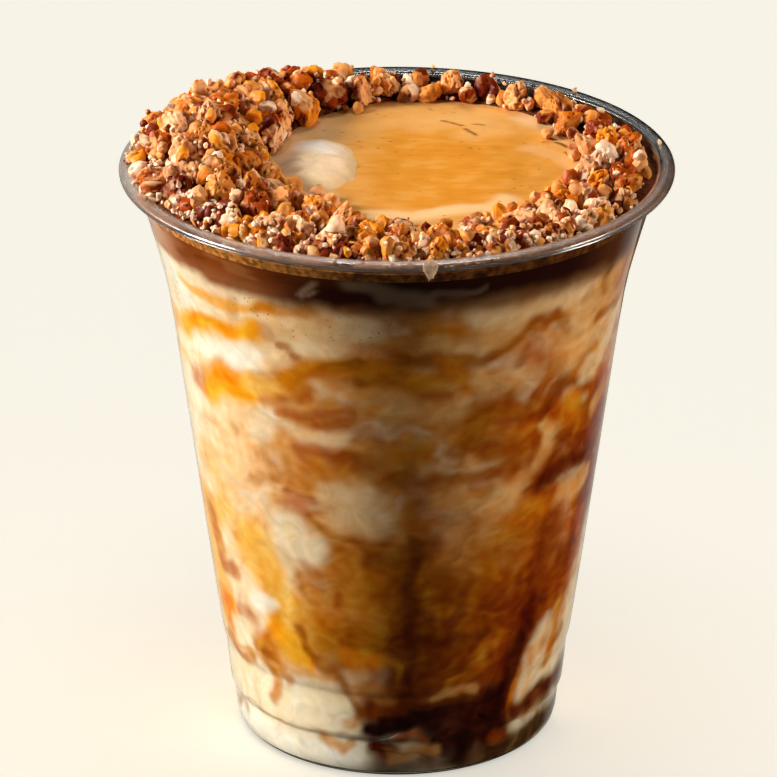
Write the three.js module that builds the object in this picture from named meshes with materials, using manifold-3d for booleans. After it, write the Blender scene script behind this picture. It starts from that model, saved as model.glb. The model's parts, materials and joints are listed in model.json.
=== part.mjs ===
// Affogato in a clear cold cup: marbled vanilla ice cream, a layer of espresso under its crema,
// caramel sauce run down inside the wall, and a ring of chopped nuts heaped round the top.
// Millimetres, +Z up, with the origin under the middle of the cup's foot. The side seen first faces -Y.
import * as THREE from 'three';
import { mergeVertices } from 'three/addons/utils/BufferGeometryUtils.js';
import Module from 'manifold-3d';

const wasm = await Module();
wasm.setup();

// Cup
const CUP_HEIGHT = 107;
const RIM_RADIUS = 49;
const RIM_HALF_WIDTH = 1.6;
const RIM_HALF_HEIGHT = 0.9;
const RIM_STEPS = 6;
const WALL = 0.6;
const ROUND = 44;
const FOOT_RADIUS = 27.2;
const FOOT_INNER_RADIUS = 25.4;
const BASE_RECESS = 2.2;
const BASE_RADIUS = 23.8;

// Outer wall as [height, radius], from the round of the foot, over both stacking steps, to the rim
const OUTER_WALL = [
  [0.5, 28.1],
  [1.6, 28.9],
  [7.2, 29.4],
  [8.8, 30.1],
  [16.6, 30.9],
  [19.8, 31.6],
  [50, 35.8],
  [82, 40.2],
  [91, 42.1],
  [105, 46.2],
];

// What the cup holds
const GAP = 0.3;
const ICE_CREAM_TOP = 96.6;
const ESPRESSO_TOP = 102;
const CREMA_TOP = 104;
const LAYER_WAVE = 0.35;
const MOUND = { x: -14.5, y: 3, z: 92, halfX: 12.5, halfY: 25, halfZ: 13.8 };

// Ring of chopped nuts, open over a pool of crema that lies off the cup's middle
const POOL = { x: 5.5, y: 4.5, halfX: 27.5, halfY: 33 };
const HEAP_LOWEST = 3.7;
const HEAP_HIGHEST = 9.8;
const HEAP_SHARPNESS = 4;
const HEAP_PEAK_ANGLE = -105;
const HEAP_RADIUS = 44.6;
const CORE_DROP = 2.2;
const NUT_COUNT = 198;
const NUT_LARGEST = 8.8;
const NUT_SMALLEST = 3.6;
const NUT_FACETED_ABOVE = 6.2;
const NUT_SEED = 21;
const NUT_PACKING = 0.38;

// Caramel: [angle in degrees, height, half width] along the streak and along the pool it feeds
const CARAMEL_STREAK = [
  [76, 66, 2.2],
  [66, 61.5, 3.6],
  [56, 57, 3.4],
  [51, 49, 2.8],
  [49, 40, 2.9],
  [45, 30, 3.1],
  [38, 20, 3.4],
  [30, 11, 3.8],
];
const CARAMEL_POOL = [
  [-9, 6.6, 2.2],
  [2, 7.4, 4],
  [14, 8.2, 5.2],
  [28, 8.4, 5.6],
  [40, 7, 4.6],
  [50, 6, 2.6],
];
const STREAK_DEPTH = 1.8;
const POOL_DEPTH = 4.2;
const BAND_EDGE = 0.2;
const BAND_END_TRIM = 0.02;
const ROOM_PAST_WALL = 2.4;

const MATERIALS = {
  cup: new THREE.MeshStandardMaterial({ color: '#e9eef0', roughness: 0.06, transparent: true, opacity: 0.3 }),
  iceCream: new THREE.MeshStandardMaterial({ color: '#dcb27c', roughness: 0.55, metalness: 0 }),
  espresso: new THREE.MeshStandardMaterial({ color: '#3b1c0c', roughness: 0.18, metalness: 0 }),
  crema: new THREE.MeshStandardMaterial({ color: '#d99a4e', roughness: 0.5, metalness: 0 }),
  caramel: new THREE.MeshStandardMaterial({ color: '#6b2a05', roughness: 0.2, metalness: 0 }),
  nuts: new THREE.MeshStandardMaterial({ color: '#c98a4d', roughness: 0.7, metalness: 0 }),
};

// A seeded draw from 0 to 1, the same on every run.
function drawFrom(seed) {
  let state = seed >>> 0;
  return () => {
    state = (Math.imul(state, 1664525) + 1013904223) >>> 0;
    return state / 4294967296;
  };
}

function toSolid(geometry) {
  const bare = new THREE.BufferGeometry();
  bare.setAttribute('position', geometry.getAttribute('position'));
  bare.setIndex(geometry.index);
  const merged = mergeVertices(bare, 1e-4);
  const triangles = [];
  for (let i = 0; i < merged.index.count; i += 3) {
    const [a, b, c] = [0, 1, 2].map((corner) => merged.index.getX(i + corner));
    if (a !== b && b !== c && c !== a) triangles.push(a, b, c);
  }
  return new wasm.Manifold(new wasm.Mesh({
    numProp: 3,
    vertProperties: new Float32Array(merged.attributes.position.array),
    triVerts: new Uint32Array(triangles),
  }));
}

function toGeometry(solid) {
  const mesh = solid.getMesh();
  const geometry = new THREE.BufferGeometry();
  geometry.setAttribute('position', new THREE.BufferAttribute(new Float32Array(mesh.vertProperties), 3));
  geometry.setIndex(new THREE.BufferAttribute(new Uint32Array(mesh.triVerts), 1));
  geometry.computeVertexNormals();
  return geometry;
}

function lathe(profile) {
  const points = profile.map(([height, radius]) => new THREE.Vector2(radius, height));
  return new THREE.LatheGeometry(points, ROUND).rotateX(Math.PI / 2);
}

function radiusOn(profile, height) {
  const last = profile.length - 1;
  if (height <= profile[0][0]) return profile[0][1];
  if (height >= profile[last][0]) return profile[last][1];
  const next = profile.findIndex(([z]) => z > height);
  const [z0, r0] = profile[next - 1];
  const [z1, r1] = profile[next];
  return THREE.MathUtils.mapLinear(height, z0, z1, r0, r1);
}

// The wall's inner face, and the floor from the axis out: flat over the recess, and down into the foot ring
const INNER_WALL = OUTER_WALL.map(([height, radius]) => [height, radius - WALL]);
const FLOOR_TOP = BASE_RECESS + WALL;
const FLOOR = [
  [FLOOR_TOP, 0],
  [FLOOR_TOP, BASE_RADIUS + 0.2],
  [0.9, FOOT_INNER_RADIUS + 0.3],
  [0.9, FOOT_RADIUS - 0.6],
  [1.4, FOOT_RADIUS + 0.3],
];

function makeCup() {
  const rimRadius = RIM_RADIUS - RIM_HALF_WIDTH;
  const rimHeight = CUP_HEIGHT - RIM_HALF_HEIGHT;
  const underside = [
    [BASE_RECESS, 0],
    [BASE_RECESS, BASE_RADIUS],
    [0, FOOT_INNER_RADIUS],
    [0, FOOT_RADIUS],
  ];
  const rim = [];
  for (let step = 0; step <= RIM_STEPS; step++) {
    const turn = THREE.MathUtils.mapLinear(step, 0, RIM_STEPS, -0.75 * Math.PI, 0.75 * Math.PI);
    rim.push([rimHeight + RIM_HALF_HEIGHT * Math.sin(turn), rimRadius + RIM_HALF_WIDTH * Math.cos(turn)]);
  }
  const inside = INNER_WALL.filter(([height]) => height > FLOOR.at(-1)[0]).reverse();
  return lathe([...underside, ...OUTER_WALL, ...rim, ...inside, ...FLOOR.toReversed()]);
}

// A filling that follows the cup's inner wall up from a low face to a high one, both gently waved.
function makeLayer(lowFace, high, wave) {
  const low = lowFace[0][0];
  const foot = lowFace.at(-1)[0];
  const wall = INNER_WALL.map(([height, radius]) => [height, radius - GAP]);
  const between = wall.map(([height]) => height).filter((z) => z > foot + 1 && z < high - 1);
  const side = [...between, high].map((z) => [z, radiusOn(wall, z)]);
  const geometry = lathe([...lowFace, ...side, [high, 0.5 * side.at(-1)[1]], [high, 0]]);
  const place = geometry.getAttribute('position');
  for (let i = 0; i < place.count; i++) {
    const [x, y, z] = [place.getX(i), place.getY(i), place.getZ(i)];
    const face = Math.abs(z - low) < 0.01 ? wave[0] : Math.abs(z - high) < 0.01 ? wave[1] : 0;
    place.setZ(i, z + face * waveAt(x, y));
  }
  return toSolid(geometry);
}

// The level underside of a layer, out to the wall
function levelFace(height) {
  const edge = radiusOn(INNER_WALL, height) - GAP;
  return [[height, 0], [height, 0.5 * edge], [height, edge]];
}

function waveAt(x, y) {
  const angle = Math.atan2(y, x);
  const reach = Math.min(1, Math.hypot(x, y) / 30);
  return LAYER_WAVE * reach * (Math.sin(2 * angle + 0.6) + 0.6 * Math.sin(5 * angle));
}

// The scoop of ice cream that comes up through the espresso and the crema
function makeMound(grow = 0) {
  const mound = new THREE.SphereGeometry(1, 16, 10);
  mound.scale(MOUND.halfX + grow, MOUND.halfY + grow, MOUND.halfZ + grow);
  mound.translate(MOUND.x, MOUND.y, MOUND.z);
  return toSolid(mound);
}

// Sauce on the wall's inner face: a band along a path, thick in its middle and thin at its edges.
// With grow it is the room cut for the sauce, which also reaches out past the wall's inner face.
function makeBand(path, depth, grow = 0) {
  const across = 4;
  const ring = 2 * (across + 1);
  const curve = new THREE.CatmullRomCurve3(path.map((point) => new THREE.Vector3(...point)));
  const steps = 2 * (path.length - 1);
  const trim = grow > 0 ? 0 : BAND_END_TRIM;
  const past = grow > 0 ? ROOM_PAST_WALL : 0;
  const place = [];
  for (let step = 0; step <= steps; step++) {
    const share = THREE.MathUtils.mapLinear(step, 0, steps, trim, 1 - trim);
    const at = curve.getPoint(share);
    const ahead = curve.getTangent(share);
    const perDegree = THREE.MathUtils.degToRad(wallInside(at.y));
    const along = new THREE.Vector2(ahead.x * perDegree, ahead.y).normalize();
    const taper = Math.sin(Math.PI * THREE.MathUtils.clamp(share, 0.06, 0.94)) ** 0.4;
    const half = at.z * taper + grow;
    for (let k = 0; k < ring; k++) {
      const front = k <= across;
      const side = front ? -1 + (2 * k) / across : 1 - (2 * (k - across - 1)) / across;
      const height = at.y + side * half * along.x;
      const angle = THREE.MathUtils.degToRad(at.x) - (side * half * along.y) / wallInside(height);
      const thick = BAND_EDGE + depth * taper * (1 - side * side) + grow;
      const radius = wallInside(height) + (front ? past : -thick);
      place.push(radius * Math.sin(angle), -radius * Math.cos(angle), height);
    }
  }
  const faces = [];
  for (let step = 0; step < steps; step++) {
    for (let k = 0; k < ring; k++) {
      const [a, b] = [step * ring + k, step * ring + ((k + 1) % ring)];
      faces.push(a, a + ring, b, b, a + ring, b + ring);
    }
  }
  for (let k = 1; k < ring - 1; k++) {
    faces.push(0, k, k + 1);
    faces.push(steps * ring, steps * ring + k + 1, steps * ring + k);
  }
  return toSolid(indexedGeometry(place, faces));
}

function makeCaramel(grow = 0) {
  return makeBand(CARAMEL_STREAK, STREAK_DEPTH, grow).add(makeBand(CARAMEL_POOL, POOL_DEPTH, grow));
}

function indexedGeometry(place, faces) {
  const geometry = new THREE.BufferGeometry();
  geometry.setAttribute('position', new THREE.Float32BufferAttribute(place, 3));
  geometry.setIndex(faces);
  return geometry;
}

// The wall's inner radius less the gap, kept inside the stacking steps near by
function wallInside(height) {
  const nearby = [-2, -1, 0, 1, 2].map((away) => radiusOn(INNER_WALL, height + away));
  return Math.min(...nearby) - GAP;
}

// Where a point lies in the nut ring: 0 at the pool's edge, 1 at the wall, with the heap's crest there.
function ringPlace(x, y) {
  const fromMiddle = Math.hypot(x, y) || 1;
  const [ux, uy] = [x / fromMiddle / POOL.halfX, y / fromMiddle / POOL.halfY];
  const [px, py] = [POOL.x / POOL.halfX, POOL.y / POOL.halfY];
  const along = ux * px + uy * py;
  const square = ux * ux + uy * uy;
  const inner = (along + Math.sqrt(along * along + square * (1 - px * px - py * py))) / square;
  const share = (fromMiddle - inner) / (HEAP_RADIUS - inner);
  const angle = Math.atan2(x, -y) - THREE.MathUtils.degToRad(HEAP_PEAK_ANGLE);
  const high = (0.5 + 0.5 * Math.cos(angle)) ** HEAP_SHARPNESS;
  return { share, inner, crest: THREE.MathUtils.lerp(HEAP_LOWEST, HEAP_HIGHEST, high) };
}

function heapHeight(x, y) {
  const { share, crest } = ringPlace(x, y);
  if (share <= 0 || share >= 1.08) return 0;
  const rise = Math.sin(Math.PI * Math.min(0.5, share * 0.8)) ** 0.8;
  const fall = share < 0.62 ? 1 : 1 - 0.45 * ((share - 0.62) / 0.38) ** 2;
  return crest * rise * fall;
}

// The bare core under the nuts: a ring whose top is a little below the heap's outline
function makeNutCore() {
  const around = 36;
  const across = 3;
  const place = [];
  const bottom = CREMA_TOP + LAYER_WAVE;
  for (let i = 0; i < around; i++) {
    const angle = (2 * Math.PI * i) / around;
    const [ux, uy] = [Math.cos(angle), Math.sin(angle)];
    const { inner } = ringPlace(ux, uy);
    const [from, to] = [inner + 1.6, HEAP_RADIUS - 0.4];
    for (let k = 0; k <= across; k++) {
      const radius = THREE.MathUtils.lerp(from, to, k / across);
      const height = Math.max(0.5, heapHeight(ux * radius, uy * radius) - CORE_DROP);
      place.push(ux * radius, uy * radius, bottom + height);
    }
    place.push(ux * to, uy * to, bottom, ux * from, uy * from, bottom);
  }
  const ring = across + 3;
  const faces = [];
  for (let i = 0; i < around; i++) {
    for (let k = 0; k < ring; k++) {
      const [a, b] = [i * ring + k, i * ring + ((k + 1) % ring)];
      const [c, d] = [((i + 1) % around) * ring + k, ((i + 1) % around) * ring + ((k + 1) % ring)];
      faces.push(a, b, c, b, d, c);
    }
  }
  return toSolid(indexedGeometry(place, faces));
}

// Where each nut lies and how large it is: largest first, at random places that aren't too close together.
function layNuts() {
  const draw = drawFrom(NUT_SEED);
  const nuts = [];
  for (let tries = 0; nuts.length < NUT_COUNT && tries < 90000; tries++) {
    const size = THREE.MathUtils.lerp(NUT_LARGEST, NUT_SMALLEST, (nuts.length / NUT_COUNT) ** 0.5);
    const angle = 2 * Math.PI * draw();
    const fromMiddle = 46 * Math.sqrt(draw());
    const [x, y] = [fromMiddle * Math.cos(angle), fromMiddle * Math.sin(angle)];
    const ring = ringPlace(x, y);
    const overRim = 2.6 * THREE.MathUtils.smoothstep(ring.crest, 5.5, 8);
    const inPool = fromMiddle - ring.inner < 0.3 * size - 0.8;
    const outside = fromMiddle + 0.5 * size > HEAP_RADIUS + 0.8 + overRim;
    const tooTall = size > 6.6 && ring.crest < 4.6 + 2 * draw();
    if (inPool || outside || tooTall) continue;
    if (nuts.some((nut) => Math.hypot(nut.x - x, nut.y - y) < NUT_PACKING * (nut.size + size))) continue;
    const z = CREMA_TOP + Math.max(0.36 * size, heapHeight(x, y) - 0.2 * size);
    nuts.push({ x, y, z, size, turn: [draw(), draw(), draw()].map((t) => 2 * Math.PI * t), flat: draw() });
  }
  return nuts;
}

// A chopped nut: a lump of flat facets with its corners pushed in and out, a plain block if it is small
function makeNut(nut, draw) {
  const faceted = nut.size > NUT_FACETED_ABOVE;
  const edge = 0.68 * nut.size;
  const lump = faceted
    ? new THREE.IcosahedronGeometry(0.5 * nut.size, 0)
    : new THREE.BoxGeometry(edge, edge, edge);
  lump.deleteAttribute('normal');
  lump.deleteAttribute('uv');
  const merged = mergeVertices(lump, 1e-3);
  const place = merged.getAttribute('position');
  for (let i = 0; i < place.count; i++) {
    const push = 0.82 + 0.36 * draw();
    place.setXYZ(i, push * place.getX(i), push * place.getY(i), push * place.getZ(i));
  }
  merged.scale(1.15, 0.9, 0.66 + 0.24 * nut.flat);
  merged.applyMatrix4(new THREE.Matrix4().makeRotationFromEuler(new THREE.Euler(...nut.turn)));
  merged.translate(nut.x, nut.y, nut.z);
  return toSolid(merged);
}

// Room the nuts may fill: over the crema, inside the wall, and above the rim no wider than the rim
function makeNutRoom() {
  const low = CREMA_TOP + LAYER_WAVE;
  const mouth = radiusOn(INNER_WALL, low) - GAP;
  const over = CUP_HEIGHT + GAP;
  const top = over + 2 * HEAP_HIGHEST;
  const widest = RIM_RADIUS - 0.8;
  const inCup = [[low, 0], [low, mouth], [over, mouth + 0.4]];
  const overRim = [[over, widest], [top, widest], [top, 0]];
  return toSolid(lathe([...inCup, ...overRim]));
}

function makeNuts() {
  const draw = drawFrom(NUT_SEED + 1);
  const pieces = layNuts().map((nut) => makeNut(nut, draw));
  const heap = wasm.Manifold.union([makeNutCore(), ...pieces]).intersect(makeNutRoom());
  return largestBody(heap.subtract(makeMound(GAP)));
}

function largestBody(solid) {
  return solid.decompose().sort((a, b) => b.volume() - a.volume())[0];
}

function makeContents() {
  const caramel = makeCaramel();
  const caramelRoom = makeCaramel(GAP);
  const moundRoom = makeMound(GAP);
  const overFloor = FLOOR.slice(0, -1).map(([height, radius]) => [height + 1.2 * GAP, radius]);
  const body = makeLayer([...overFloor, [2, FOOT_RADIUS + 0.5]], ICE_CREAM_TOP, [0, 1]);
  return {
    marbled_ice_cream: largestBody(body.subtract(caramelRoom).add(makeMound())),
    caramel_sauce: caramel,
    espresso: makeLayer(levelFace(ICE_CREAM_TOP + GAP), ESPRESSO_TOP, [1, 0.3]).subtract(moundRoom),
    crema: makeLayer(levelFace(ESPRESSO_TOP + GAP), CREMA_TOP, [0.3, 0.5]).subtract(moundRoom),
  };
}

function addMesh(group, name, geometry, material) {
  const mesh = new THREE.Mesh(geometry, material);
  mesh.name = name;
  group.add(mesh);
}

const affogato = new THREE.Group();
const contents = makeContents();
addMesh(affogato, 'cup', makeCup(), MATERIALS.cup);
addMesh(affogato, 'marbled_ice_cream', toGeometry(contents.marbled_ice_cream), MATERIALS.iceCream);
addMesh(affogato, 'caramel_sauce', toGeometry(contents.caramel_sauce), MATERIALS.caramel);
addMesh(affogato, 'espresso', toGeometry(contents.espresso), MATERIALS.espresso);
addMesh(affogato, 'crema', toGeometry(contents.crema), MATERIALS.crema);
addMesh(affogato, 'chopped_nuts', toGeometry(makeNuts()), MATERIALS.nuts);

export default affogato;
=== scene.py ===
import functools
import itertools
import json
import math

import bpy
import numpy as np
from mathutils import Euler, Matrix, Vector

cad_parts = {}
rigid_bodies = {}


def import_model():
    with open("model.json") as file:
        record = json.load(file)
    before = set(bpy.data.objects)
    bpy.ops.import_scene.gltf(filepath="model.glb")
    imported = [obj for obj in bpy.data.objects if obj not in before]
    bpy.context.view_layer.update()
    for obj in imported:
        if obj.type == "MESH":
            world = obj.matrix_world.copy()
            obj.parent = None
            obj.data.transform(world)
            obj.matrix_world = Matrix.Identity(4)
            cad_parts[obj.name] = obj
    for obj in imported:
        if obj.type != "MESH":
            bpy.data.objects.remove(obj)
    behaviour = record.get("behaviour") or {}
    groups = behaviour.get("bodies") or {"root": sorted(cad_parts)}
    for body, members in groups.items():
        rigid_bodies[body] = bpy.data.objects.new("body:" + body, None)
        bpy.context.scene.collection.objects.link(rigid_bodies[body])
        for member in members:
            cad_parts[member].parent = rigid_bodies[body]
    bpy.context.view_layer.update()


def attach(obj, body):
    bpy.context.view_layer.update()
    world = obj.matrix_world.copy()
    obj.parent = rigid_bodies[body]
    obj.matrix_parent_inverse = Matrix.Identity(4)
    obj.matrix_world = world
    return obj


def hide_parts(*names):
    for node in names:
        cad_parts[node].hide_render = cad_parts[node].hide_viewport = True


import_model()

MM = 0.001

# Camera, at the photograph's angle: about 23 degrees down on the cup from a good metre away,
# with a long lens, so that the cup's rim shows as a flat ellipse.
camera_data = bpy.data.cameras.new("camera")
camera_data.lens = 314.4
camera_data.sensor_width = 36
camera_data.clip_start = 0.05
camera = bpy.data.objects.new("camera", camera_data)
camera.location = (-1.48 * MM, -1116.2 * MM, 536.8 * MM)
camera.rotation_euler = (math.radians(67.02), 0, 0)
bpy.context.scene.collection.objects.link(camera)
bpy.context.scene.camera = camera


# Cup: a cold cup thermoformed in clear PET, with a foot ring round a raised base, two stacking
# steps, a wall that flares near the top and a rolled rim. PET is glass-clear, with a slight blur.
CUP_HEIGHT = 107.0
RIM_RADIUS = 49.0
WALL = 0.6
FLOOR_TOP = 2.8
CUP_STEPS = 192
CURL_HEIGHT, CURL_RADIUS = 106.05, 47.45
CUP_OUTER = [
    (0.0, 26.8), (0.15, 27.4), (0.6, 28.0), (1.5, 28.6), (3.0, 29.0), (5.0, 29.2), (7.2, 29.4),
    (7.7, 29.5), (8.1, 29.85), (8.7, 30.1), (12.5, 30.5), (16.4, 30.85), (17.0, 30.95), (17.8, 31.3),
    (19.0, 31.55), (20.0, 31.7), (23.0, 32.15), (34.0, 33.7), (50.0, 35.85), (66.0, 38.0), (78.0, 39.6),
    (84.0, 40.5), (88.0, 41.3), (92.0, 42.35), (96.0, 43.45), (100.0, 44.6), (103.0, 45.5), (105.0, 46.15),
]


def cup_radius(height):
    """The cup's outer radius at a height, in millimetres."""
    return np.interp(height, *zip(*CUP_OUTER))


def deselect():
    bpy.ops.object.select_all(action="DESELECT")


def select_only(piece):
    deselect()
    piece.select_set(True)
    bpy.context.view_layer.objects.active = piece


def lathe(name, profile, steps):
    """A body spun about the cup's axis from (height, radius) points in millimetres, from axis to axis."""
    deselect()
    bpy.ops.mesh.primitive_circle_add(vertices=len(profile), radius=RIM_RADIUS * MM)
    piece = bpy.context.object
    piece.name = name
    for vertex, (height, radius) in zip(piece.data.vertices, profile):
        vertex.co = (radius * MM, 0, height * MM)
    last = len(profile) - 1
    bpy.ops.object.mode_set(mode="EDIT")
    bpy.ops.mesh.select_all(action="DESELECT")
    bpy.ops.object.mode_set(mode="OBJECT")
    for edge in piece.data.edges:
        edge.select = set(edge.vertices) == {0, last}
    bpy.ops.object.mode_set(mode="EDIT")
    bpy.ops.mesh.select_mode(type="EDGE")
    bpy.ops.mesh.delete(type="EDGE")
    bpy.ops.mesh.select_mode(type="VERT")
    bpy.ops.mesh.select_all(action="SELECT")
    bpy.ops.mesh.spin(steps=steps, angle=math.tau, center=(0, 0, 0), axis=(0, 0, 1))
    bpy.ops.mesh.select_all(action="SELECT")
    bpy.ops.mesh.remove_doubles(threshold=0.002 * MM)
    bpy.ops.mesh.normals_make_consistent(inside=False)
    bpy.ops.object.mode_set(mode="OBJECT")
    bpy.ops.object.shade_smooth_by_angle(angle=math.radians(50))
    return piece


def linear(code):
    """The linear colour of an sRGB hex code."""
    channels = [int(code[i : i + 2], 16) / 255 for i in (1, 3, 5)]
    return [c / 12.92 if c <= 0.04045 else ((c + 0.055) / 1.055) ** 2.4 for c in channels] + [1.0]


def add_node(tree, kind, settings=None, **inputs):
    """Adds a node with its settings and inputs, where iN is input N and a node gives its first output."""
    node = tree.nodes.new("ShaderNode" + kind)
    for key, value in (settings or {}).items():
        setattr(node, key, value)
    for key, value in inputs.items():
        socket = node.inputs[int(key[1:]) if key[1:].isdigit() else key.replace("_", " ")]
        if isinstance(value, bpy.types.Node):
            value = value.outputs[0]
        if isinstance(value, bpy.types.NodeSocket):
            tree.links.new(value, socket)
        else:
            socket.default_value = value
    return node


def new_material(name):
    """A material with no nodes yet, and add_node for its own tree."""
    material = bpy.data.materials.new(name)
    material.use_nodes = True
    material.node_tree.nodes.clear()
    return material, functools.partial(add_node, material.node_tree)


def rim_curl(half_height, half_width):
    """(height, radius) points round the rolled rim, from inside the wall over the top to its lip."""
    curl = []
    for step in range(21):
        turn = math.radians(180 - 250 * step / 20)
        curl.append((CURL_HEIGHT + half_height * math.sin(turn), CURL_RADIUS + half_width * math.cos(turn)))
    return curl


underside = [(2.2, 0.0), (2.2, 23.6), (1.9, 24.3), (0.5, 25.2), (0.0, 25.7)]
rim = rim_curl(0.5, 1.1) + rim_curl(0.95, 1.55)[::-1]
inside = [(height, radius - WALL) for height, radius in reversed(CUP_OUTER) if height > 1.0]
floor_top = [(1.0, 27.4), (0.9, 26.4), (1.1, 25.9), (2.5, 24.6), (FLOOR_TOP, 23.9), (FLOOR_TOP, 0.0)]
cup = lathe("clear_cup", underside + CUP_OUTER + rim + inside + floor_top, CUP_STEPS)

# The rim is a little hazy, more so in front, where a blotchy brown layer on it is painted reflection of
# the nuts and coffee that it mirrors and shows through. Light passes straight through the wall, so that
# what is inside is lit as in the open air.
clear_pet, add = new_material("clear_thermoformed_pet")
where = add("TexCoord").outputs["Object"]
height = add("SeparateXYZ", Vector=where).outputs["Z"]
depth = add("SeparateXYZ", Vector=where).outputs["Y"]
toward_front = add("MapRange", Value=depth, From_Min=10 * MM, From_Max=-25 * MM)
rim_haze = add("MapRange", Value=toward_front, To_Min=0.09, To_Max=0.14)
haze = add("MapRange", Value=height, From_Min=104.8 * MM, From_Max=106 * MM, To_Min=0.04, To_Max=rim_haze)
pet = add(
    "BsdfPrincipled", Base_Color=linear("#F4F6F4"), Roughness=haze, IOR=1.57, Transmission_Weight=1.0
)
open_air = add("BsdfTransparent", Color=linear("#F2F2F0"))
rays = add("LightPath").outputs
lit_through = add("Math", {"operation": "MAXIMUM"}, i0=rays["Is Shadow Ray"], i1=rays["Is Diffuse Ray"])
# Painted reflection: a blotchy brown layer on the front of the rim, for the nuts and coffee it mirrors
painted_rim_reflection = add("BsdfPrincipled", Base_Color=linear("#96705C"), Roughness=0.4)
on_rim = add("MapRange", Value=height, From_Min=105.7 * MM, From_Max=106.4 * MM, To_Max=0.45)
blotches = add("TexNoise", Vector=where, Scale=1 / (6 * MM), Detail=3.0)
blotched = add("MapRange", Value=blotches, From_Min=0.3, From_Max=0.6)
front_blotches = add("Math", {"operation": "MULTIPLY"}, i0=toward_front, i1=blotched)
painted_reflection_share = add("Math", {"operation": "MULTIPLY"}, i0=on_rim, i1=front_blotches)
pet_with_painted_reflection = add("MixShader", i0=painted_reflection_share, i1=pet, i2=painted_rim_reflection)
wall_shader = add("MixShader", i0=lit_through, i1=pet_with_painted_reflection, i2=open_air)
add("OutputMaterial", Surface=wall_shader)
cup.data.materials.append(clear_pet)
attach(cup, "root")
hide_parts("cup")


# Marbled ice cream: soft vanilla ice cream poured over caramel, so that swirls of amber and brown
# sauce show through the wall, darkest in the middle and on the right. It reaches just into the wall,
# and a mound of it stands up through the coffee on the left.
INTO_WALL = 0.2
ICE_CREAM_TOP = 96.7
MOUND_X, MOUND_Y, MOUND_Z = -14.5, 3.0, 92.0
MOUND_HALF_X, MOUND_HALF_Y, MOUND_HALF_Z = 12.5, 25.0, 13.8
ICE_CREAM_STEPS = 400
MOUND_REACH = 41.5
# One degree round the cup, as a length on its wall about halfway up
DEGREE = math.radians(1) * 36.0
MILK = "#F9F0DC"
CREAM = "#F8E2BA"
PEACH = "#F5CA94"
APRICOT = "#E9AA64"
BUFF = "#DA944A"
TAN = "#C47C34"
# Greyish brown for the painted shade low on the cup, under it in front and low on the right
LOW_SHADE = "#7C6048"
BLUSH = "#D28C5C"
HONEY = "#F3B44C"
GOLD = "#F5A51A"
ORANGE = "#EE8A10"
AMBER = "#CC780E"
RUST = "#B65E22"
TOFFEE = "#A35704"
BROWN = "#833A01"
SYRUP = "#5A1A01"
BLACK = "#2E0A02"


def noise_at(points, size, seed):
    """Smooth noise from about -1 to 1 at points in millimetres, with lumps of about that size."""
    spots = np.asarray(points) / size + 37.7 * seed
    cell = np.floor(spots).astype(np.int64)
    part = spots - cell
    ease = part * part * (3 - 2 * part)
    total = np.zeros(len(spots))
    # Each corner of a point's cell has a slope of its own, scrambled from the corner's place
    for corner in itertools.product((0, 1), repeat=3):
        mixed = (cell + corner) @ np.array([73856093, 19349663, 83492791])
        mixed = (mixed ^ (mixed >> 13)) * 1274126177 % 4294967296
        slopes = np.stack([(mixed >> shift) % 1024 / 511.5 - 1 for shift in (2, 11, 20)], axis=1)
        weight = np.prod(np.where(corner, ease, 1 - ease), axis=1)
        total += weight * ((part - corner) * slopes).sum(axis=1)
    return 1.5 * total


def smooth(low, high, value):
    share = np.clip((value - low) / (high - low), 0, 1)
    return share * share * (3 - 2 * share)


class Paint:
    """Colours laid one over another at points on a surface, each point given as two lengths in mm."""

    def __init__(self, across, up, ground):
        self.across = across
        self.up = up
        self.colour = np.zeros((len(across), 4))
        self.wash(np.ones(len(across)), ground)

    def wash(self, cover, colour):
        """Lays an sRGB hex colour, or a colour for each point, over what is there."""
        colour = linear(colour) if isinstance(colour, str) else colour
        cover = np.clip(cover, 0, 1)[:, None]
        self.colour = self.colour * (1 - cover) + np.array(colour) * cover

    def stroke(self, colour, half, strength, points, soft):
        """A brush stroke through points, of a half width in mm, with a soft edge."""
        away = np.full(len(self.across), 1e9)
        for (x0, y0), (x1, y1) in zip(points, points[1:]):
            length = max((x1 - x0) ** 2 + (y1 - y0) ** 2, 1e-6)
            along = ((self.across - x0) * (x1 - x0) + (self.up - y0) * (y1 - y0)) / length
            along = np.clip(along, 0, 1)
            near = np.hypot(self.across - x0 - along * (x1 - x0), self.up - y0 - along * (y1 - y0))
            away = np.minimum(away, near)
        self.wash(strength * (1 - smooth(half * (1 - soft), half * (1 + soft), away)), colour)

    def strokes(self, rows, soft, unit=1.0):
        """Strokes in turn, from rows of a colour, a half width, a strength and points."""
        for colour, half, strength, *points in rows:
            self.stroke(colour, half, strength, [(x * unit, y) for x, y in points], soft)

    def keep_on(self, piece):
        attribute = piece.data.color_attributes.new("paint", "FLOAT_COLOR", "POINT")
        attribute.data.foreach_set("color", self.colour.astype(np.float32).ravel())


def places(piece):
    """A piece's vertices in millimetres, one row each."""
    found = np.zeros(len(piece.data.vertices) * 3, np.float32)
    piece.data.vertices.foreach_get("co", found)
    return found.reshape(-1, 3) / MM


def put_at(piece, spots):
    """Moves a piece's vertices to places in millimetres."""
    piece.data.vertices.foreach_set("co", (spots * MM).astype(np.float32).ravel())
    piece.data.update()


def wall_profile(low, high, spacing):
    """(height, radius) points up a filling's side, each just inside the cup's outer face."""
    heights = np.linspace(low, high, 1 + round((high - low) / spacing))
    return [(h, cup_radius(h) - WALL + INTO_WALL) for h in heights]


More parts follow.
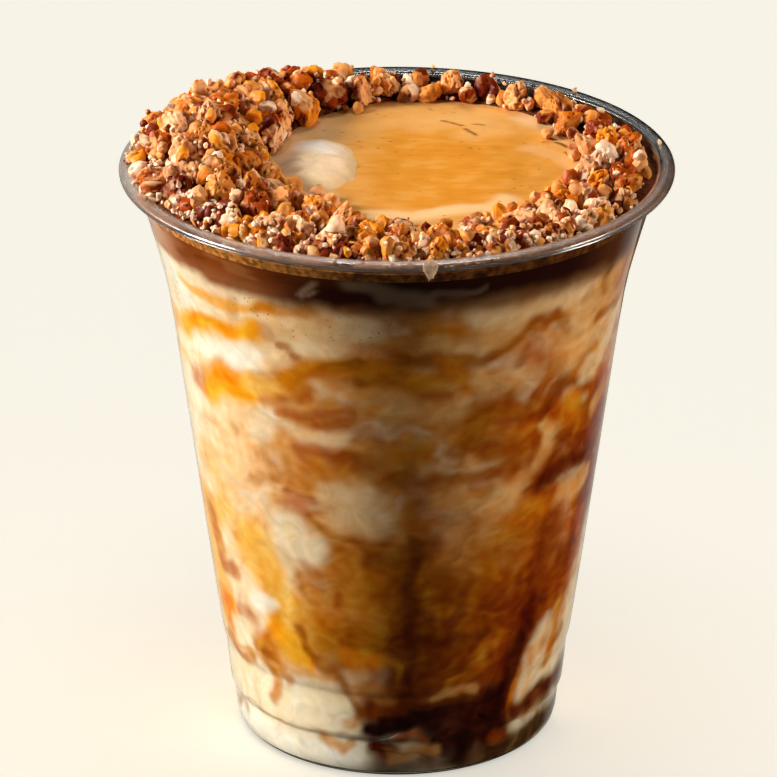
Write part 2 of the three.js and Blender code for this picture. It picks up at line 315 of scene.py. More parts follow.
# Broad soft tints first: colour, half width, strength, then points as (degrees round, height)
HAZES = [
    (PEACH, 11, 1.0, (-42, 70), (-46, 40)),
    (APRICOT, 12, 1.0, (-12, 94), (-16, 70), (-20, 46)),
    (APRICOT, 12, 1.0, (14, 94), (40, 92), (66, 92)),
    (PEACH, 6, 0.8, (-30, 94), (-32, 84)),
    (BUFF, 7, 0.9, (-26, 74), (-14, 70), (0, 66)),
    (BUFF, 6, 0.6, (-30, 64), (-26, 60)),
    (BUFF, 9, 1.0, (6, 88), (12, 78), (14, 64)),
    (TAN, 6, 0.8, (-10, 72), (2, 68), (2, 60)),
    (TAN, 4, 1.0, (-8, 93), (12, 93)),
    (TAN, 6, 0.8, (2, 84), (12, 83), (28, 84)),
    (TAN, 7, 0.9, (4, 58), (14, 56), (30, 54), (34, 50)),
    (BUFF, 4, 0.8, (-14, 57), (-8, 55)),
    (TAN, 7, 1.0, (-24, 42), (-10, 42), (0, 48)),
    (AMBER, 7, 0.9, (-6, 39), (4, 42), (26, 44), (38, 47)),
    (AMBER, 8, 1.0, (-24, 29), (-10, 28), (-2, 30)),
    (HONEY, 5, 0.9, (-46, 44), (-41, 38), (-36, 32), (-34, 26)),
    (HONEY, 4, 0.6, (-66, 56), (-60, 57)),
    (TOFFEE, 7, 0.9, (26, 70), (38, 66)),
    (BUFF, 6, 0.9, (36, 84), (46, 82)),
    (APRICOT, 7, 1.0, (54, 84), (60, 90), (66, 84)),
    (TAN, 4, 0.7, (72, 92), (76, 84)),
    (AMBER, 7, 1.0, (46, 70), (56, 67), (68, 70), (76, 77)),
    (BROWN, 5, 0.9, (46, 60), (58, 61), (74, 63)),
    (TOFFEE, 7, 1.0, (8, 39), (24, 38), (40, 42)),
    (BROWN, 8, 1.0, (6, 29), (20, 29), (36, 30), (48, 34)),
    (TOFFEE, 6, 1.0, (46, 52), (60, 46)),
    (BROWN, 6, 1.0, (73, 56), (73, 46), (66, 39), (56, 35)),
    (TOFFEE, 5, 0.9, (56, 30), (64, 30), (71, 34)),
    (BROWN, 6, 1.0, (4, 21), (22, 22), (36, 21)),
    (BROWN, 5, 1.0, (-4, 14), (12, 14), (36, 13)),
    (CREAM, 6, 1.0, (-80, 12), (-50, 12), (-24, 11)),
    (MILK, 3, 0.9, (-72, 4), (-40, 4), (-16, 4)),
    # Painted shade under the cup in front, by its foot
    (LOW_SHADE, 3, 0.9, (-6, 3), (16, 3)),
    (APRICOT, 5, 1.0, (50, 18), (60, 19), (70, 23), (78, 32)),
    (CREAM, 4, 0.7, (48, 19), (54, 23), (56, 16)),
    (CREAM, 5, 0.7, (82, 40), (76, 30), (72, 20), (70, 15)),
    # Painted shade low on the right of the cup
    (LOW_SHADE, 3, 0.9, (48, 10), (64, 10), (80, 12)),
]
# Then the swirls, in the same form, from the top down on the left and then on the right
SWIRLS = [
    (GOLD, 1.0, 0.8, (-62, 93), (-50, 92.3), (-40, 92.3), (-30, 93)),
    (AMBER, 1.2, 0.8, (-34, 92.6), (-27, 93.6), (-20, 95.4)),
    (MILK, 2.6, 0.8, (-70, 93), (-66, 90), (-60, 89)),
    (HONEY, 2.6, 0.9, (-80, 81), (-68, 82), (-56, 83.5)),
    (GOLD, 2.0, 1.0, (-68, 83), (-60, 85.3), (-48, 86.6), (-37, 88)),
    (ORANGE, 0.9, 0.6, (-61, 86), (-52, 87), (-44, 87.4)),
    (MILK, 2.2, 0.8, (-60, 80.5), (-50, 80.6), (-39, 82.6)),
    (HONEY, 1.2, 0.6, (-80, 75.2), (-72, 74.6)),
    (BLUSH, 2.0, 0.8, (-68, 72.5), (-60, 73), (-55, 74.4), (-50, 77)),
    (GOLD, 3.0, 1.0, (-56, 73), (-50, 75.2), (-41, 75)),
    (ORANGE, 1.3, 0.7, (-56, 73.5), (-50, 76.5), (-46, 77)),
    (HONEY, 1.8, 0.8, (-41, 77), (-32, 78)),
    (CREAM, 2.2, 0.7, (-40, 68), (-34, 71)),
    (AMBER, 2.4, 1.0, (-28, 79.5), (-24, 82.2), (-18, 84), (-10, 84.4), (-2, 82.6), (5, 82)),
    (TOFFEE, 1.2, 0.9, (-18, 84), (-11, 84.8)),
    (TOFFEE, 1.6, 0.8, (-8, 81.4), (0, 82.4)),
    (PEACH, 3.0, 0.9, (-24, 89), (-18, 91), (-8, 91)),
    (BLUSH, 1.2, 0.5, (-12, 87.6), (-2, 86.6)),
    (TOFFEE, 1.0, 0.8, (-29, 86.6), (-26, 87.2), (-24.5, 85.6)),
    (RUST, 1.1, 0.9, (-31, 72.6), (-25, 73.4), (-18, 75.2), (-13, 76)),
    (RUST, 1.5, 0.7, (-20, 72), (-16, 72.6), (-14, 74)),
    (PEACH, 1.4, 0.8, (-28, 70), (-16, 70)),
    (RUST, 1.7, 0.8, (-25, 65.6), (-21, 66), (-15, 66)),
    (AMBER, 1.8, 0.7, (-21, 64), (-17, 62), (-14, 63.5)),
    (TOFFEE, 1.3, 0.5, (-14, 65.6), (-6, 64.6), (2, 64)),
    (RUST, 1.2, 0.9, (-32, 57.4), (-28.5, 56), (-24, 57.2)),
    (BLUSH, 2.4, 0.9, (-30, 54.6), (-28, 54)),
    (PEACH, 3.4, 0.8, (-16, 58), (-10, 58), (-7, 54), (-14, 55)),
    (CREAM, 3.0, 0.9, (-33, 50), (-29, 46), (-26, 46)),
    (CREAM, 2.6, 0.6, (-39, 46), (-37, 42)),
    (TOFFEE, 0.9, 0.7, (-24, 52.4), (-21, 50), (-13, 48.8), (-6, 46.8)),
    (BROWN, 2.4, 0.6, (-6, 46), (0, 46), (7, 48)),
    (HONEY, 2.6, 0.9, (-47, 45), (-43, 46), (-40, 40), (-41, 33)),
    (HONEY, 2.2, 0.8, (-40, 38), (-34, 34), (-36, 30)),
    (MILK, 2.0, 0.85, (-49, 32.4), (-44, 32)),
    (BLUSH, 2.2, 0.7, (-60, 29), (-53, 27), (-50, 23.5)),
    (GOLD, 2.6, 0.95, (-42, 28), (-36, 25), (-29, 22.6)),
    (AMBER, 2.4, 0.95, (-49, 22.4), (-45, 24), (-42, 22)),
    (TOFFEE, 1.9, 0.9, (-46, 21.4), (-42.5, 20)),
    (AMBER, 1.5, 0.85, (-44, 19), (-43.5, 15), (-46, 13)),
    (AMBER, 1.2, 0.7, (-40, 19), (-37, 18)),
    (TOFFEE, 1.2, 0.9, (-32, 29), (-29, 26), (-26, 23), (-20, 21), (-15, 18), (-12, 14)),
    (TOFFEE, 3.0, 0.8, (-20, 24), (-17, 28), (-13, 29)),
    (ORANGE, 2.0, 0.7, (-14, 25), (-7, 24.6)),
    (HONEY, 3.0, 0.8, (-76, 48), (-66, 45.6), (-58, 49)),
    (HONEY, 4.6, 0.95, (-78, 46), (-72, 38), (-72, 26)),
    (ORANGE, 2.8, 0.95, (-72, 27), (-66, 27.4), (-68, 24)),
    (AMBER, 1.8, 0.8, (-71, 44), (-67, 41), (-66, 39)),
    (RUST, 1.8, 0.8, (-66, 35.8), (-63, 35), (-59, 36)),
    (CREAM, 2.2, 0.8, (-64, 23.4), (-55, 25)),
    (AMBER, 1.4, 0.8, (-73, 20), (-66, 18.4), (-61, 17.6), (-56, 19.4)),
    # Painted shadow of the cup's stacking step, a thin line at about 20 mm
    (BUFF, 0.6, 0.6, (-80, 20.2), (-50, 20.2), (-20, 20)),
    # Painted shadow of the cup's lower step, a thin line at about 8 mm
    (TOFFEE, 0.4, 0.4, (-70, 8.4), (-40, 8.4), (-12, 8.2)),
    (TOFFEE, 1.3, 0.6, (-77, 5.6), (-71, 7), (-67, 5.4)),
    (BUFF, 1.1, 0.9, (-28, 7), (-24, 6), (-20, 5.2), (-17, 6.6)),
    (BUFF, 1.3, 0.8, (-19, 10.6), (-13, 12)),
    (BUFF, 1.6, 0.8, (-12, 18.4), (-6, 18), (-2, 17)),
    (BROWN, 2.2, 0.9, (-11, 13.6), (-4, 14.4), (4, 14)),
    (BLACK, 1.8, 1.0, (-10, 10), (-6, 9.6), (-2, 11.4), (4, 12)),
    (SYRUP, 1.8, 1.0, (-8, 6.3), (-5, 5.4), (-3.4, 6)),
    (TOFFEE, 2.4, 0.7, (-6, 97), (6, 95.6)),
    (PEACH, 2.4, 0.85, (19, 94), (30, 92.6), (48, 95)),
    (AMBER, 1.1, 0.9, (9, 91.6), (15, 91.3)),
    (APRICOT, 1.8, 0.8, (8, 89), (18, 87.8), (28, 90)),
    (
        TOFFEE, 1.4, 0.85,
        (0, 86), (8, 86), (14, 86), (20, 84.6), (28, 86.6), (34, 89.6), (40, 90.4), (47, 87),
    ),
    (AMBER, 1.8, 0.9, (12, 85), (16, 81.6), (17, 78.6)),
    (TOFFEE, 1.2, 0.7, (32, 82), (35, 86), (38, 89)),
    (BLUSH, 3.0, 0.7, (36, 84.4), (43, 82.6), (41, 79.4)),
    (AMBER, 2.0, 0.6, (4, 81), (8, 82)),
    (APRICOT, 2.2, 0.7, (0, 77), (6, 75), (14, 76)),
    (APRICOT, 1.8, 0.7, (20, 80.6), (30, 79)),
    (TOFFEE, 2.2, 0.9, (20, 73), (27, 74), (35, 72), (39, 75.4), (44, 79)),
    (AMBER, 1.6, 0.7, (30, 69), (37, 68)),
    (TOFFEE, 2.4, 0.85, (20, 66), (30, 65), (38, 66)),
    (TOFFEE, 1.3, 0.8, (0, 62), (12, 61.8), (22, 61), (32, 62)),
    (TOFFEE, 1.6, 0.7, (14, 67), (18, 68), (20, 71)),
    (APRICOT, 1.7, 0.8, (20, 64.6), (21, 64)),
    (AMBER, 1.4, 0.8, (0, 66), (6, 66.6), (8, 69), (3, 70)),
    (APRICOT, 2.6, 0.9, (27, 54.6), (33, 57), (37, 58.4)),
    (APRICOT, 2.4, 0.5, (12, 58), (16, 57)),
    (TAN, 2.6, 0.8, (24, 50), (18, 46.4), (20, 43)),
    (TOFFEE, 1.6, 0.7, (3, 59), (4, 53), (6, 49)),
    (SYRUP, 1.2, 0.6, (5, 49), (4.4, 40), (4, 28), (3, 14)),
    (APRICOT, 1.7, 0.85, (42, 69), (45, 67), (45, 63), (42, 61)),
    (BROWN, 1.6, 0.8, (41, 70.4), (44, 73.4), (48, 75.5), (54, 75), (58, 73)),
    (APRICOT, 4.2, 0.7, (50, 82), (57, 84), (60, 90)),
    (AMBER, 1.2, 0.8, (52, 76), (56, 78.4), (60, 80)),
    (PEACH, 2.2, 0.8, (57, 76), (62, 75), (68, 79), (74, 84)),
    (TOFFEE, 1.2, 0.7, (60, 86), (66, 86), (72, 86.5)),
    (TOFFEE, 0.9, 0.6, (60, 96), (61, 91)),
    (BROWN, 2.2, 0.8, (60, 68), (66, 69.6)),
    (BUFF, 1.8, 0.8, (65, 67.6), (70, 68.4)),
    (BROWN, 2.6, 0.9, (42, 57), (48, 58.4), (54, 58.8), (62, 58), (69, 60), (76, 64)),
    (SYRUP, 1.6, 0.8, (44, 57.2), (52, 57.6), (62, 57.2)),
    (BROWN, 2.2, 0.9, (68, 58), (72, 52), (72, 45)),
    (APRICOT, 1.8, 0.95, (52, 52.2), (58, 51.8), (62, 53), (67, 53.4)),
    (BLUSH, 2.4, 0.9, (53, 49), (57, 46.4), (57, 44)),
    (RUST, 3.0, 0.6, (61, 45), (69, 44)),
    (AMBER, 2.2, 0.8, (39, 53), (46, 51)),
    (TAN, 2.6, 0.7, (35, 43), (43, 44)),
    (AMBER, 2.0, 0.5, (26, 24), (33, 27)),
    (SYRUP, 1.2, 0.6, (8, 29), (20, 28.4), (32, 28)),
    (BROWN, 3.6, 0.9, (49, 46), (49.5, 38), (48, 32), (45, 26), (40, 20), (38, 14), (36, 8)),
    (SYRUP, 2.2, 0.9, (48, 32), (45, 26), (41, 20), (38, 14)),
    (BLACK, 1.6, 0.8, (43, 24.6), (40, 20), (37, 14)),
    (AMBER, 1.0, 0.7, (44, 18), (42, 12)),
    (AMBER, 1.5, 0.85, (61, 28), (61, 22), (60, 17)),
    (TOFFEE, 1.1, 0.6, (63, 21), (67, 22)),
    (APRICOT, 1.6, 0.7, (50, 20.6), (58, 25)),
    (BLACK, 2.8, 1.0, (7, 13), (20, 12.6), (32, 14)),
    (BLACK, 5.0, 1.0, (15, 8), (22, 7.6), (33, 9)),
    (BUFF, 0.9, 0.85, (12, 16.8), (17, 17.2), (22, 17.5), (27, 17)),
    (BLACK, 3.0, 0.95, (22, 3), (45, 3), (78, 3.6)),
    (BROWN, 1.1, 0.6, (34, 7), (38, 6)),
    (RUST, 1.1, 0.8, (0, 8.4), (6, 9.2), (9, 8)),
    (BUFF, 1.5, 0.7, (-2, 4.6), (6, 5.6), (13, 5)),
    (SYRUP, 1.8, 0.9, (44, 10.6), (54, 10.4), (64, 11), (78, 10)),
    (BUFF, 0.7, 0.5, (47, 7.6), (62, 7.2)),
]
# And the melted cream drawn up into the coffee
WISPS = [
    ("#8E7058", 0.6, 0.7, (-22, 98), (-20.6, 99.6), (-19, 100.6)),
    ("#8E7058", 0.5, 0.6, (-19.6, 98.2), (-18, 99.2)),
    ("#8E7058", 1.3, 0.6, (-10, 101.4), (-5, 100.8), (1, 99.4), (7, 98.4)),
    ("#8E7058", 0.8, 0.4, (-3, 98.6), (1, 97.6), (8, 97)),
    ("#8E7058", 0.7, 0.35, (9, 99.6), (15, 98.8), (20, 99.8)),
]


def coffee_at(spots, angle):
    """The coffee's colours, with painted light: red-brown on the left, where light comes through, with a
    few pale wisps.
    """
    across = angle * DEGREE + 1.6 * noise_at(spots, 5, 11)
    coffee = Paint(across, spots[:, 2] + 0.7 * noise_at(spots, 3, 12), "#280A03")
    # Painted light: red-brown and pale on the lit left, lighter brown and a grey reflection on the right
    coffee.wash(smooth(-15, -45, angle) * smooth(-120, -80, angle), "#803C12")
    coffee.wash(smooth(-54, -70, angle) * smooth(-110, -90, angle) * 0.8, "#D89C72")
    coffee.wash(smooth(42, 60, angle) * 0.8, "#5E2F10")
    coffee.wash(smooth(64, 76, angle) * smooth(94, 82, angle) * 0.8, "#A89080")
    coffee.wash(smooth(0.1, 0.5, noise_at(spots * (0.4, 0.4, 1), 5, 13)) * 0.3, "#6E3414")
    layers = noise_at(spots * (0.22, 0.22, 1.3), 1.9, 39) + 0.4 * noise_at(spots, 3, 40)
    coffee.wash(smooth(0.1, 0.6, layers) * 0.5, "#300E04")
    coffee.wash(smooth(100.6, 97, spots[:, 2]) * smooth(-20, -40, angle) * 0.45, "#A4683C")
    coffee.wash(smooth(0.15, 0.6, -layers) * smooth(-14, -34, angle) * 0.3, "#AC7444")
    coffee.strokes(WISPS, 0.9, DEGREE)
    return coffee.colour


def marbled(spots):
    """The colours of the marbling at points in millimetres, and of the coffee that lies over it."""
    angle = np.degrees(np.arctan2(spots[:, 0], -spots[:, 1]))
    drift = 1.6 * noise_at(spots, 11, 1) + 1.2 * noise_at(spots, 4.4, 2) + 0.3 * noise_at(spots, 1.8, 3)
    lift = 1.3 * noise_at(spots, 10, 4) + 1.0 * noise_at(spots, 4, 5) + 0.3 * noise_at(spots, 1.8, 6)
    paint = Paint(angle * DEGREE + drift, spots[:, 2] + lift, CREAM)
    stirred = np.column_stack([paint.across, paint.up, 0.3 * spots[:, 1]])
    behind = smooth(74, 94, np.abs(angle))
    bent = spots + 9 * np.column_stack([noise_at(spots, 15, seed) for seed in (36, 37, 38)])
    flow = noise_at(bent * (1, 1, 1.5), 15, 7) + 0.25 * noise_at(bent, 5, 41)
    paint.wash(behind * 0.8 * smooth(-0.3, 0.3, flow), APRICOT)
    paint.wash(behind * 0.9 * smooth(0.2, 0.6, flow), HONEY)
    paint.wash(behind * 0.9 * smooth(0.0, 0.5, -flow), BUFF)
    paint.wash(behind * 0.8 * smooth(0.25, 0.7, -flow), TOFFEE)
    paint.wash(behind * 0.8 * smooth(0.3, 0.6, noise_at(bent * (1.3, 1.3, 0.6), 13, 42)), AMBER)
    paint.strokes(HAZES, 0.6, DEGREE)
    lying = smooth(36, 56, spots[:, 2])
    streak = lying * noise_at(stirred * (0.6, 1.2, 1), 4, 8)
    streak += (1 - lying) * noise_at(stirred * (1.4, 0.5, 1), 4, 9)
    streak = 0.8 * streak + 0.4 * noise_at(stirred, 2.4, 10)
    clear = smooth(14, 22, spots[:, 2]) * smooth(-78, -30, angle)
    paint.wash(0.4 * clear * smooth(0.1, 0.6, streak), TOFFEE)
    bend = np.column_stack([noise_at(spots, 9, 32), noise_at(spots, 9, 33), lift])
    swirled = stirred * (0.7, 1, 1) + 3 * bend
    curl = noise_at(swirled, 6, 34) + 0.4 * noise_at(swirled, 2.6, 35)
    paint.wash(0.45 * clear * smooth(0.06, 0.5, curl), AMBER)
    pale = np.maximum(smooth(44, 60, spots[:, 2]), smooth(12, 24, spots[:, 2]) * smooth(-14, -30, angle))
    paint.wash(0.3 * pale * smooth(0.06, 0.5, -curl), "#F0D6B8")
    paint.strokes(SWIRLS, 0.65, DEGREE)
    thickness = 1 + 0.4 * streak + 0.2 * noise_at(stirred * (0.7, 1.4, 1), 1.5, 11)
    paint.colour[:, :3] = paint.colour[:, :3] ** np.clip(thickness, 0.72, 2)[:, None]
    # Painted glow: dark sauce on the right is tinted amber, as where light comes through it
    painted_glow = smooth(14, 36, angle) * smooth(96, 80, angle) * smooth(0.24, 0.08, paint.colour[:, 1])
    paint.colour[:, :3] *= 1 + painted_glow[:, None] * np.array((0.06, -0.22, -0.7))
    height = spots[:, 2] + 0.7 * noise_at(spots, 5, 14) + 0.35 * noise_at(spots, 1.8, 15)
    paint.wash(0.85 * smooth(93, 97, height) * smooth(-50, -10, angle), "#84552C")
    lowest = np.interp(angle, (-60, -24, 8, 60), (95.2, 93.8, 94.6, 94.4))
    highest = np.interp(angle, (-60, -36, -10, 24, 60), (97.0, 97.0, 97.8, 99.6, 98.8))
    paint.wash(smooth(lowest, highest, height), coffee_at(spots, angle))
    # The fourth channel says how many fine bubbles show at a place
    bubbly = smooth(70, 84, spots[:, 2]) * smooth(98, 95, spots[:, 2])
    paint.colour[:, 3] = 0.75 * bubbly * smooth(-0.1, 0.3, noise_at(spots, 12, 16))
    return paint


side = wall_profile(1.2, ICE_CREAM_TOP, 0.53)
bottom = [(3.0, 0.0), (3.0, 12.0), (2.9, 23.0), (1.4, 25.6), (1.2, 26.6)]
top = [(ICE_CREAM_TOP, radius) for radius in range(41, -1, -1)]
ice_cream = lathe("marbled_ice_cream_fill", bottom + side + top, ICE_CREAM_STEPS)
spots = places(ice_cream)
x, y = spots[:, 0], spots[:, 1]
marbling = marbled(spots)
across = np.hypot((x - MOUND_X) / MOUND_HALF_X, (y - MOUND_Y - 1) / MOUND_HALF_Y)
across = 0.86 * across + 0.09 * noise_at(spots, 9, 17) + 0.05 * noise_at(spots, 3.5, 18)
bulge = MOUND_Z + MOUND_HALF_Z * np.sqrt(np.clip(1 - across * across, 0, 1))
on_top = (spots[:, 2] > ICE_CREAM_TOP - 0.01) & (np.hypot(x, y) < MOUND_REACH)
spots[:, 2] = np.where(on_top, np.maximum(spots[:, 2], bulge), spots[:, 2])
mound = Paint(x + 0.8 * noise_at(spots, 4, 19), y + 0.8 * noise_at(spots, 4, 20), "#F4D4AC")
# Painted highlight on the mound's upper left, where the key light catches it
mound.stroke("#FAEEE0", 3.0, 0.9, [(-16, 14), (-13, 11)], 0.8)
# Painted shade on the mound's left side, where the nuts on the left shade it from the key light
mound.stroke("#D0A884", 2.4, 0.6, [(-21, 8), (-20, 1)], 0.9)
mound.stroke("#ECBE86", 2.6, 0.6, [(-6, 12), (-5, 4), (-7, -4)], 0.9)
mound.stroke("#F6D6A0", 3.0, 0.7, [(-18, -5), (-12, -8)], 0.9)
# At its foot the mound takes the colour of the foam round it
mound.wash(smooth(105.3, 104.2, spots[:, 2] + 0.5 * noise_at(spots, 5, 43)) * 0.85, "#E6BC86")
mound.colour[:, 3] = 0.0
marbling.wash(on_top * 1.0, mound.colour)
marbling.keep_on(ice_cream)
put_at(ice_cream, spots)

# Soft ice cream hardly shines. Faint ribbons show where it folded as it was poured, and its fine
# bubbles are drawn a little large, so that they show.
RGBA = {"data_type": "RGBA"}
MULTIPLIED = {"data_type": "RGBA", "blend_type": "MULTIPLY"}
soft_ice, add = new_material("soft_vanilla_ice_cream_with_caramel")
where = add("TexCoord").outputs["Object"]
painted = add("VertexColor", {"layer_name": "paint"})
ribbons = add("TexNoise", Vector=where, Scale=1 / (5 * MM), Detail=6.0, Distortion=1.2)
ribbon_light = add("MapRange", Value=ribbons, From_Min=0.3, From_Max=0.7, To_Min=0.84, To_Max=1.12)
shaded = add("Mix", MULTIPLIED, i0=1.0, i6=painted, i7=ribbon_light)
bubbles = add("TexVoronoi", Vector=where, Scale=1 / (1.3 * MM))
bubble = add("MapRange", Value=bubbles, From_Min=0.2, From_Max=0.1)
seen = add("Math", {"operation": "MULTIPLY"}, i0=bubble, i1=painted.outputs["Alpha"])
bubbled = add("Mix", RGBA, i0=seen, i6=shaded.outputs[2], i7=linear("#94683C"))
frozen = add(
    "BsdfPrincipled", Base_Color=bubbled.outputs[2], Roughness=0.45, Specular_IOR_Level=0.0,
    Subsurface_Weight=0.1, Subsurface_Radius=(1.0, 0.5, 0.25), Subsurface_Scale=1.5 * MM,
)
add("OutputMaterial", Surface=frozen)
ice_cream.data.materials.append(soft_ice)
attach(ice_cream, "root")
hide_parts("marbled_ice_cream")


# Espresso: a shot of black coffee that lies over the ice cream, and mingles with its top. Painted light
# makes it reddish where light comes through it, with a few pale wisps of melted cream drawn up into it.
ESPRESSO_TOP = 102.1
ESPRESSO_STEPS = 360
side = wall_profile(ICE_CREAM_TOP + 0.01, ESPRESSO_TOP, 0.3)
low, high = side[0][0], side[-1][0]
under, over = [(low, 0.0), (low, 20.0)], [(high, 20.0), (high, 0.0)]
espresso = lathe("espresso_layer", under + side + over, ESPRESSO_STEPS)
marbled(places(espresso)).keep_on(espresso)

# Behind the wall neither the coffee nor the sauce has a shine of its own
black_coffee, add = new_material("espresso_coffee")
painted = add("VertexColor", {"layer_name": "paint"})
liquid = add("BsdfPrincipled", Base_Color=painted, Roughness=0.2, Specular_IOR_Level=0.0)
add("OutputMaterial", Surface=liquid)
espresso.data.materials.append(black_coffee)
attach(espresso, "root")
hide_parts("espresso")


# Crema: the golden foam of the espresso, deepest in colour at the middle of the pool and pale at
# its edge, with fine bubbles drawn out into streaks. The mound of ice cream stands up through it.
CREMA_TOP = 104.0
CREMA_STEPS = 400
POOL_X, POOL_Y, POOL_HALF_X, POOL_HALF_Y = 5.5, 4.5, 27.5, 33.0
low = ESPRESSO_TOP + 0.05
side = wall_profile(low, CREMA_TOP - 0.2, 0.24)
surface = [(CREMA_TOP, radius) for radius in np.arange(45.2, 0.3, -0.4)]
crema = lathe("crema_foam", [(low, 0.0), (low, 20.0)] + side + surface + [(CREMA_TOP, 0.0)], CREMA_STEPS)
spots = places(crema)
x, y = spots[:, 0], spots[:, 1]
on_top = np.where(spots[:, 2] > CREMA_TOP - 0.05, smooth(45.3, 44.0, np.hypot(x, y)), 0)
from_mound = np.hypot((x - MOUND_X) / MOUND_HALF_X, (y - MOUND_Y) / MOUND_HALF_Y)
swell = 0.25 * noise_at(spots, 14, 22) + 0.07 * noise_at(spots, 3, 23)
spots[:, 2] += on_top * swell
put_at(crema, spots)

# Pale swirls in the foam and dark flecks at its back and right, with (x, y) points in millimetres
FOAM_MARKS = [
    ("#DEA864", 2.4, 0.5, (-8, 21), (-3, 26), (6, 30), (16, 29)),
    ("#E2AC68", 3.0, 0.5, (5, 25), (11, 28), (17, 24), (13, 21)),
    ("#EABC86", 2.4, 0.7, (24, 29), (28, 25), (30, 20)),
    ("#F0C48C", 2.4, 0.8, (-4, -18), (3, -19), (9, -16.5), (16, -15), (19, -11)),
    ("#E8B070", 2.0, 0.6, (24, 14), (29, 10), (31, 6)),
    ("#7A4014", 0.35, 0.9, (8.0, 27.6), (9.6, 26.8), (11, 25.4)),
    ("#6E3410", 0.3, 0.9, (11.4, 23.4), (12.4, 21.8), (13.8, 20.6)),
    ("#7A4014", 0.3, 0.8, (13.2, 26.4), (15, 25.6)),
    ("#6E3410", 0.4, 0.9, (26.6, 20.6), (28.4, 18.6)),
    ("#6E3410", 0.45, 0.9, (28.6, 17.2), (30.2, 15.2)),
    ("#7A4014", 0.3, 0.8, (30.4, 12.6), (31.2, 10.4)),
]
edge = np.hypot((x - 8) / 21.5, (y - 3.5) / 26.5)
edge = edge + 0.16 * noise_at(spots, 11, 24) + 0.06 * noise_at(spots, 3, 25)
foam = Paint(x + 1.2 * noise_at(spots, 6, 26), y + 1.2 * noise_at(spots, 6, 27), "#D89C54")
foam.wash(smooth(1.16, 0.9, edge), "#DC953F")
foam.wash(smooth(0.95, 0.5, edge), "#D48A2C")
foam.wash(0.7 * smooth(0, -12, x) * smooth(1.1, 0.9, edge), "#E6A558")
foam.wash(0.8 * smooth(-6, -14, x) * smooth(8, 18, y), "#DEB480")
foam.wash(0.9 * smooth(0.78, 0.56, from_mound) * smooth(-12, -18, x + 0.4 * y), "#E8C49A")
streak = 0.8 * noise_at(spots * (0.4, 1, 1), 1.3, 28) + noise_at(spots, 5, 30)
foam.wash(0.25 * smooth(0.0, 0.6, streak) * smooth(1.1, 0.9, edge), "#C27018")
foam.wash(0.25 * smooth(0.05, 0.6, -streak), "#EAAE62")
foam.strokes(FOAM_MARKS, 0.6)
# Where the foam meets the wall it is darker, and painted shade darkens it most at the front and on the
# right
shade_to_right = smooth(-60, 30, np.degrees(np.arctan2(x, -y)))
at_wall = 1 - on_top
foam.wash(at_wall, "#BC7836")
foam.wash(at_wall * shade_to_right * 0.9, "#4A2206")
foam.wash(at_wall * (0.15 + 0.55 * shade_to_right) * smooth(0.1, 0.4, noise_at(spots, 4, 29)), "#300E04")
foam.colour[:, 3] = on_top
foam.keep_on(crema)

# Its bubbles are drawn larger than real ones, so that they show as pits, gathered here and there
coffee_foam, add = new_material("crema_coffee_foam")
where = add("TexCoord").outputs["Object"]
painted = add("VertexColor", {"layer_name": "paint"})
stretched = add("Mapping", Vector=where, Scale=(0.5, 1.0, 1.0))
bubbles = add("TexVoronoi", Vector=stretched, Scale=1 / (1.4 * MM))
pits = add("MapRange", Value=bubbles, From_Min=0.08, From_Max=0.2, To_Min=0.3, To_Max=1.0)
gathered = add("TexNoise", Vector=where, Scale=1 / (3.2 * MM), Detail=1.0)
pitted = add("MapRange", Value=gathered, From_Min=0.5, From_Max=0.62, To_Min=0.0, To_Max=0.8)
speckled = add("Mix", MULTIPLIED, i0=pitted, i6=painted, i7=pits)
grounds = add("TexNoise", Vector=where, Scale=1 / (1.1 * MM), Detail=2.0)
speck = add("MapRange", Value=grounds, From_Min=0.34, From_Max=0.68, To_Min=0.4, To_Max=1.6)
wall_share = add("Math", {"operation": "SUBTRACT"}, i0=1.0, i1=painted.outputs["Alpha"])
through_wall = add("Mix", MULTIPLIED, i0=wall_share, i6=speckled.outputs[2], i7=speck)
grain = add("TexNoise", Vector=stretched, Scale=1 / (0.9 * MM), Detail=3.0)
relief = add("Bump", Strength=0.25, Distance=0.15 * MM, Height=grain)
froth = add(
    "BsdfPrincipled", Base_Color=through_wall.outputs[2], Roughness=0.6, Specular_IOR_Level=0.03,
    Subsurface_Weight=0.15, Subsurface_Radius=(1.0, 0.45, 0.2), Subsurface_Scale=1.5 * MM, Normal=relief,
)
add("OutputMaterial", Surface=froth)
crema.data.materials.append(coffee_foam)
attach(crema, "root")
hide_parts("crema")


# Chopped nuts: roasted walnuts and pecans cut into lumps, with pale flesh where they broke and
# orange to mahogany skin outside. They lie heaped on a dark core, highest at the back on the left.
HEAP_LOWEST, HEAP_HIGHEST, HEAP_SHARPNESS, HEAP_PEAK = 3.7, 9.8, 4, math.radians(-105)
HEAP_RADIUS = 44.6
HEAP_REACH, CRUMB_REACH = 46, 48.6
HIGHEST_NUT = 115.6
INSIDE_WALL, ON_RIM, RIM_CREST = 45.3, 45.4, 47.3
NUT_COUNT, NUT_LARGEST, NUT_SMALLEST, NUT_PACKING = 198, 8.8, 3.6, 0.38
LARGE_NUTS = 70
ROAST_REACH = 3.2


class Draw:
    """A seeded draw from 0 to 1, the same on every run."""

    def __init__(self, seed):
        self.state = seed

    def __call__(self):
        self.state = (self.state * 1664525 + 1013904223) % 4294967296
        return self.state / 4294967296


